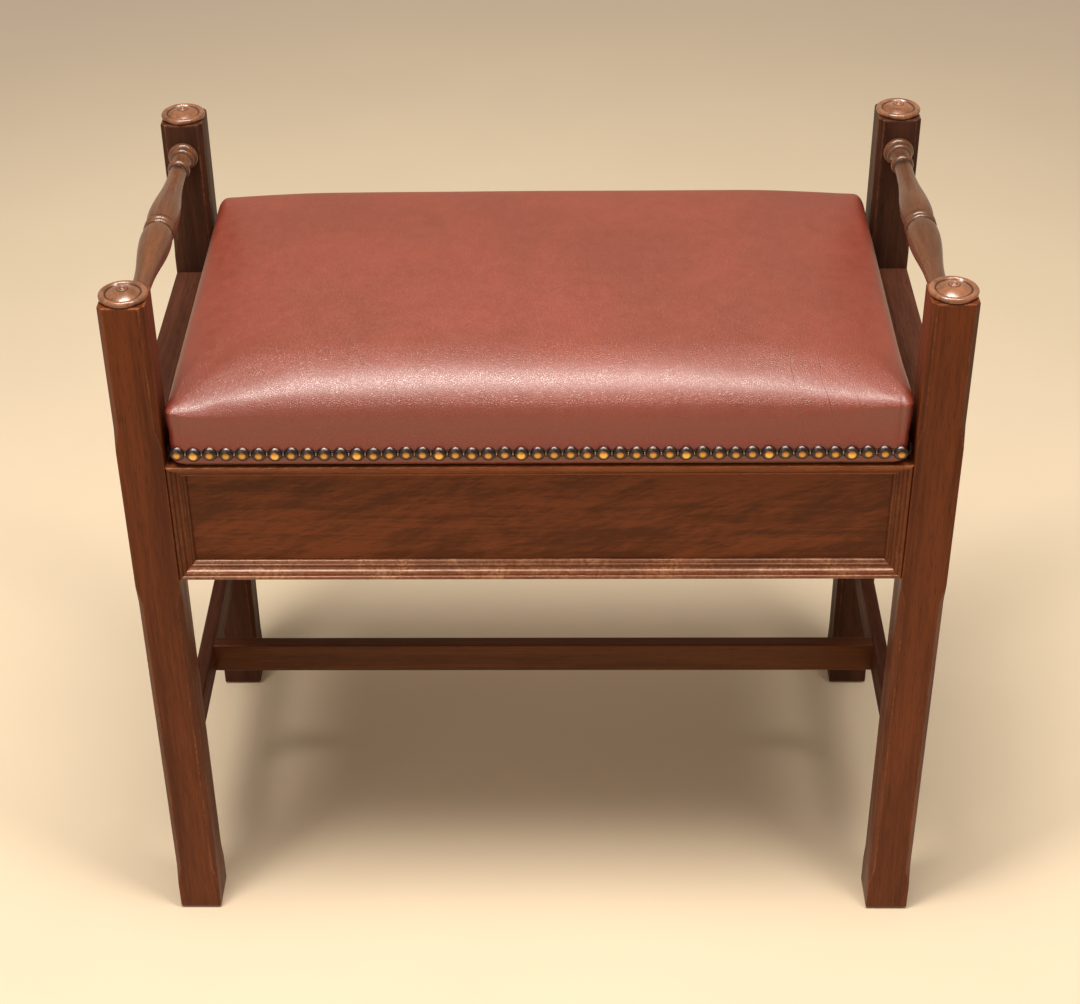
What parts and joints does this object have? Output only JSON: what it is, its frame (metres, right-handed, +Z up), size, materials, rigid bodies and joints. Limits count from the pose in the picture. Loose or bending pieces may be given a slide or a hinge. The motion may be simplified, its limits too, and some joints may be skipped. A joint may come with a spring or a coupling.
{
  "type": "piano stool",
  "caption": "Box-seat piano stool with square posts, turned hand rails and a hinged, nailed leather lid over a music compartment.",
  "frame": {"origin": "on the floor, under the middle of the stool", "axes": "+Z up, front of the stool towards -Y, +X to the right seen from the front"},
  "size_m": [0.611, 0.3299, 0.5898],
  "materials": {
    "polished_wood": "French-polished dark mahogany, satin",
    "panel_wood": "figured mahogany panel, polished",
    "moulding_wood": "polished mahogany moulding",
    "turned_wood": "turned mahogany, worn polish",
    "inner_wood": "plain unpolished softwood",
    "seat_leather": "smooth oxblood leather, satin",
    "strip_bronze": "antique bronze, lacquered",
    "nail_brass": "aged brass",
    "hinge_brass": "dull brass",
    "screw_brass": "dull brass",
    "jute_webbing": "woven jute",
    "stuffing": "hair and fibre stuffing",
    "lining_cloth": "plain woven black cotton"
  },
  "bodies": {
    "frame": {"back_rail": "polished_wood", "compartment_floor": "inner_wood", "cross_stretcher": "polished_wood", "floor_cleat_back": "inner_wood", "floor_cleat_front": "inner_wood", "floor_cleat_left": "inner_wood", "floor_cleat_right": "inner_wood", "front_rail": "panel_wood", "hand_rail_left": "turned_wood", "hand_rail_right": "turned_wood", "hinge_frame_leaf_left": "hinge_brass", "hinge_frame_leaf_right": "hinge_brass", "hinge_pin_left": "hinge_brass", "hinge_pin_right": "hinge_brass", "hinge_screws_frame": "screw_brass", "lid_bearer_left": "polished_wood", "lid_bearer_right": "polished_wood", "moulding_bottom": "moulding_wood", "moulding_left": "moulding_wood", "moulding_right": "moulding_wood", "moulding_top": "moulding_wood", "post_back_left": "polished_wood", "post_back_right": "polished_wood", "post_front_left": "polished_wood", "post_front_right": "polished_wood", "roundel_back_left": "turned_wood", "roundel_back_right": "turned_wood", "roundel_front_left": "turned_wood", "roundel_front_right": "turned_wood", "side_rail_left": "polished_wood", "side_rail_right": "polished_wood", "side_stretcher_left": "polished_wood", "side_stretcher_right": "polished_wood"},
    "lid": {"hinge_lid_leaf_left": "hinge_brass", "hinge_lid_leaf_right": "hinge_brass", "hinge_screws_lid": "screw_brass", "leather_cover": "seat_leather", "lid_member_back": "inner_wood", "lid_member_front": "inner_wood", "lid_member_left": "inner_wood", "lid_member_right": "inner_wood", "nail_strip_back": "strip_bronze", "nail_strip_front": "strip_bronze", "nail_strip_left": "strip_bronze", "nail_strip_right": "strip_bronze", "strip_nails_back": "nail_brass", "strip_nails_front": "nail_brass", "strip_nails_left": "nail_brass", "strip_nails_right": "nail_brass", "stuffing": "stuffing", "underside_lining": "lining_cloth", "webbing_across": "jute_webbing", "webbing_along": "jute_webbing"}
  },
  "joints": [
    {"name": "lid_hinge", "type": "hinge", "parent": "frame", "child": "lid", "pos_m": [0, 0.1593, 0.44815], "axis": [-1, 0, 0], "range_deg": [0, 95]}
  ]
}
